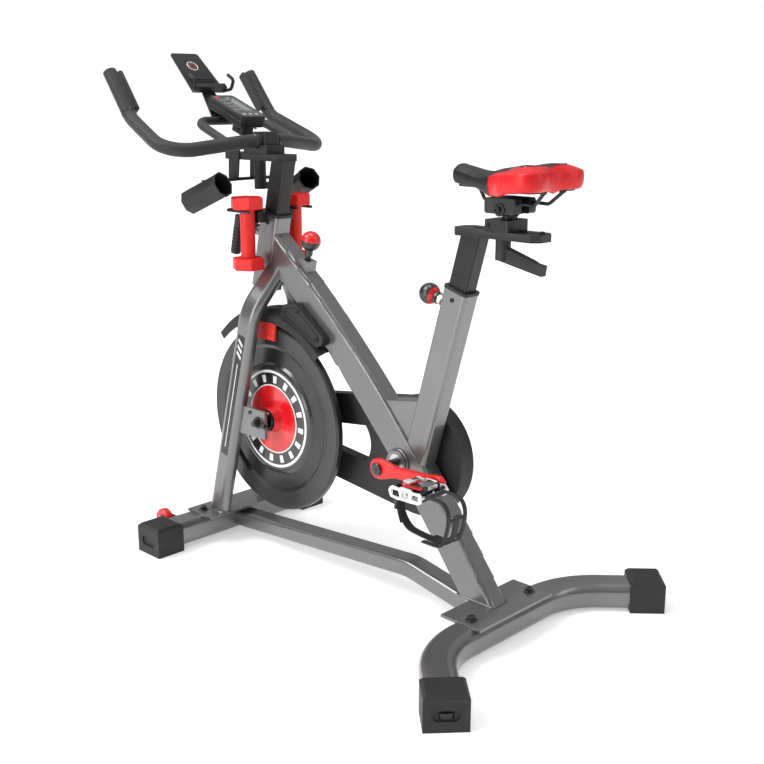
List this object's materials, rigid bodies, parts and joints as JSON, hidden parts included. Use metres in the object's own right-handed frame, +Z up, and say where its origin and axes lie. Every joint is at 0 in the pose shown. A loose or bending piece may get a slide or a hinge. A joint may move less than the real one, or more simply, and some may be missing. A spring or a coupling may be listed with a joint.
{
  "type": "indoor exercise bike",
  "caption": "Indoor spin bike with a welded tube frame, heavy belt-driven flywheel, pedals with toe cages, sliding saddle and handlebar posts, console, bottle cups and side dumbbells.",
  "frame": {"origin": "on the floor, under the centre of the bike's bounding box", "axes": "+X forward towards the handlebar, +Y to the rider's left, +Z up"},
  "size_m": [1.2399, 0.7824, 1.193],
  "materials": {
    "frame_paint": "satin metallic grey powder coat",
    "black_steel": "satin black powder coat",
    "black_plastic": "fine-grained moulded plastic",
    "gloss_black": "gloss moulded plastic",
    "flywheel_iron": "painted black, turned faces",
    "badge": "printed rings, no lettering",
    "red_paint": "gloss red",
    "red_vinyl": "vinyl dipped",
    "red_plastic": "gloss",
    "bare_steel": "turned",
    "pedal_alloy": "machined",
    "belt_rubber": "ribbed",
    "foam": "closed cell foam sleeve",
    "saddle_cover": "synthetic leather over foam",
    "console_plastic": "fine texture with a light face",
    "button_rubber": "soft keys"
  },
  "bodies": {
    "frame": {"head_sleeve": "frame_paint", "down_tube": "frame_paint", "seat_tube": "frame_paint", "crank_shell": "frame_paint", "rear_stabilizer": "frame_paint", "front_stabilizer": "frame_paint", "foot_caps": "black_plastic", "base_tube": "frame_paint", "fork_legs": "frame_paint", "frame_brackets": "frame_paint", "frame_bolts": "black_steel", "flywheel_axle": "black_steel", "belt_guard_inner": "black_plastic", "belt_guard_outer": "black_plastic", "drive_belt": "belt_rubber", "fender": "black_plastic", "post_bushings": "black_plastic", "crank_bearings": "bare_steel", "dumbbell_cradles": "black_steel"},
    "flywheel": {"flywheel": "flywheel_iron", "flywheel_cover": "badge", "flywheel_pulley": "bare_steel", "flywheel_bearings": "bare_steel"},
    "crank": {"crank_spindle": "black_steel", "crank_pulley": "black_plastic", "crank_arms": "red_paint", "pedal_axles": "bare_steel"},
    "pedal_left": {"pedal_left": "pedal_alloy", "toe_cage_left": "black_plastic"},
    "pedal_right": {"pedal_right": "pedal_alloy", "toe_cage_right": "black_plastic"},
    "cleat_latch_left": {"cleat_latch_left": "bare_steel"},
    "cleat_latch_right": {"cleat_latch_right": "bare_steel"},
    "brake_rod": {"brake_rod": "black_steel"},
    "resistance_knob": {"resistance_knob": "black_plastic"},
    "brake_caliper": {"brake_caliper": "red_plastic"},
    "seat_post": {"seat_post": "black_steel"},
    "seat_carriage": {"seat_carriage": "black_steel"},
    "saddle": {"saddle": "saddle_cover", "saddle_rails": "black_steel"},
    "seat_lever": {"seat_lever": "black_plastic"},
    "seat_pin": {"seat_pin": "black_plastic"},
    "handlebar_post": {"handlebar_post": "black_steel", "bottle_holder": "black_plastic"},
    "handlebar": {"handlebar": "foam", "handlebar_carriage": "black_steel", "grip_pads": "foam", "console": "console_plastic", "media_rack": "black_plastic"},
    "height_lever": {"height_lever": "black_plastic"},
    "slide_lever": {"slide_lever": "black_plastic"},
    "console_button_left": {"console_button_left": "button_rubber"},
    "console_button_middle": {"console_button_middle": "button_rubber"},
    "console_button_right": {"console_button_right": "button_rubber"},
    "dumbbell_left": {"dumbbell_left": "red_vinyl"},
    "dumbbell_right": {"dumbbell_right": "red_vinyl"},
    "transport_wheel_left": {"transport_wheel_left": "red_plastic"},
    "transport_wheel_right": {"transport_wheel_right": "red_plastic"},
    "leveller_left": {"leveller_left": "black_plastic"},
    "leveller_right": {"leveller_right": "black_plastic"}
  },
  "joints": [
    {"name": "flywheel_spin", "type": "hinge", "parent": "frame", "child": "flywheel", "pos_m": [0.2585, 0, 0.338], "axis": [0, 1, 0], "continuous": true},
    {"name": "crank_spin", "type": "hinge", "parent": "frame", "child": "crank", "pos_m": [-0.154, 0, 0.324], "axis": [0, 1, 0], "continuous": true},
    {"name": "pedal_left_spin", "type": "hinge", "parent": "crank", "child": "pedal_left", "pos_m": [-0.32377, 0.146, 0.3329], "axis": [0, 1, 0], "continuous": true},
    {"name": "cleat_latch_left_open", "type": "hinge", "parent": "pedal_left", "child": "cleat_latch_left", "pos_m": [-0.35777, 0.146, 0.3489], "axis": [0, -1, 0], "range_deg": [0, 14], "stiffness_Nm_per_rad": 0.6, "springref_deg": -5.73},
    {"name": "pedal_right_spin", "type": "hinge", "parent": "crank", "child": "pedal_right", "pos_m": [0.01577, -0.146, 0.3151], "axis": [0, 1, 0], "continuous": true},
    {"name": "cleat_latch_right_open", "type": "hinge", "parent": "pedal_right", "child": "cleat_latch_right", "pos_m": [-0.01823, -0.146, 0.3311], "axis": [0, -1, 0], "range_deg": [0, 14], "stiffness_Nm_per_rad": 0.6, "springref_deg": -5.73},
    {"name": "brake_push", "type": "slide", "parent": "frame", "child": "brake_rod", "axis": [0.2478, 0, -0.9688], "range_m": [0, 0.006], "stiffness_N_per_m": 4000, "springref_m": -0.003},
    {"name": "resistance_turn", "type": "hinge", "parent": "brake_rod", "child": "resistance_knob", "pos_m": [0.14697, 0, 0.77396], "axis": [0.2478, 0, -0.9688], "range_deg": [0, 720]},
    {"name": "caliper_tilt", "type": "hinge", "parent": "frame", "child": "brake_caliper", "pos_m": [0.3835, 0, 0.55451], "axis": [0, -1, 0], "range_deg": [0, 2]},
    {"name": "seat_height", "type": "slide", "parent": "frame", "child": "seat_post", "axis": [-0.2756, 0, 0.9613], "range_m": [-0.06, 0.12]},
    {"name": "seat_fore_aft", "type": "slide", "parent": "seat_post", "child": "seat_carriage", "axis": [1, 0, 0], "range_m": [-0.05, 0.028]},
    {"name": "saddle_tilt", "type": "hinge", "parent": "seat_carriage", "child": "saddle", "pos_m": [-0.42, 0, 0.887], "axis": [0, 1, 0], "range_deg": [-4, 4]},
    {"name": "seat_lever_turn", "type": "hinge", "parent": "seat_carriage", "child": "seat_lever", "pos_m": [-0.406, 0, 0.81], "axis": [0, 0, 1], "range_deg": [-90, 0]},
    {"name": "seat_pin_pull", "type": "slide", "parent": "frame", "child": "seat_pin", "axis": [0.9613, 0, 0.2756], "range_m": [0, 0.012], "stiffness_N_per_m": 900, "springref_m": -0.004},
    {"name": "handlebar_height", "type": "slide", "parent": "frame", "child": "handlebar_post", "axis": [-0.2317, 0, 0.9728], "range_m": [0, 0.1]},
    {"name": "handlebar_fore_aft", "type": "slide", "parent": "handlebar_post", "child": "handlebar", "axis": [1, 0, 0], "range_m": [-0.02, 0.02]},
    {"name": "height_lever_turn", "type": "hinge", "parent": "frame", "child": "height_lever", "pos_m": [0.33611, 0, 0.7864], "axis": [0.9728, 0, 0.2317], "range_deg": [-75, 75]},
    {"name": "slide_lever_turn", "type": "hinge", "parent": "handlebar", "child": "slide_lever", "pos_m": [0.32, 0, 0.9], "axis": [0, 0, 1], "range_deg": [-15, 15]},
    {"name": "button_left_press", "type": "slide", "parent": "handlebar", "child": "console_button_left", "axis": [0.3502, 0, -0.9367], "range_m": [0, 0.001], "stiffness_N_per_m": 700, "springref_m": -0.0005},
    {"name": "button_middle_press", "type": "slide", "parent": "handlebar", "child": "console_button_middle", "axis": [0.3502, 0, -0.9367], "range_m": [0, 0.001], "stiffness_N_per_m": 700, "springref_m": -0.0005},
    {"name": "button_right_press", "type": "slide", "parent": "handlebar", "child": "console_button_right", "axis": [0.3502, 0, -0.9367], "range_m": [0, 0.001], "stiffness_N_per_m": 700, "springref_m": -0.0005},
    {"name": "dumbbell_left_off", "type": "slide", "parent": "frame", "child": "dumbbell_left", "axis": [-1, 0, 0], "range_m": [0, 0.14]},
    {"name": "transport_wheel_left_spin", "type": "hinge", "parent": "frame", "child": "transport_wheel_left", "pos_m": [0.523, 0.175, 0.05], "axis": [0, 1, 0], "continuous": true},
    {"name": "dumbbell_right_off", "type": "slide", "parent": "frame", "child": "dumbbell_right", "axis": [-1, 0, 0], "range_m": [0, 0.14]},
    {"name": "transport_wheel_right_spin", "type": "hinge", "parent": "frame", "child": "transport_wheel_right", "pos_m": [0.523, -0.175, 0.05], "axis": [0, 1, 0], "continuous": true},
    {"name": "leveller_left_turn", "type": "hinge", "parent": "frame", "child": "leveller_left", "pos_m": [-0.57919, 0.34868, 0.03], "axis": [0, 0, 1], "range_deg": [-180, 180]},
    {"name": "leveller_right_turn", "type": "hinge", "parent": "frame", "child": "leveller_right", "pos_m": [-0.57919, -0.34868, 0.03], "axis": [0, 0, 1], "range_deg": [-180, 180]}
  ],
  "couplings": [
    {"joint": "crank_spin", "follows": "flywheel_spin", "ratio": 0.30909},
    {"joint": "caliper_tilt", "follows": "resistance_turn", "ratio": 0.0027778}
  ]
}
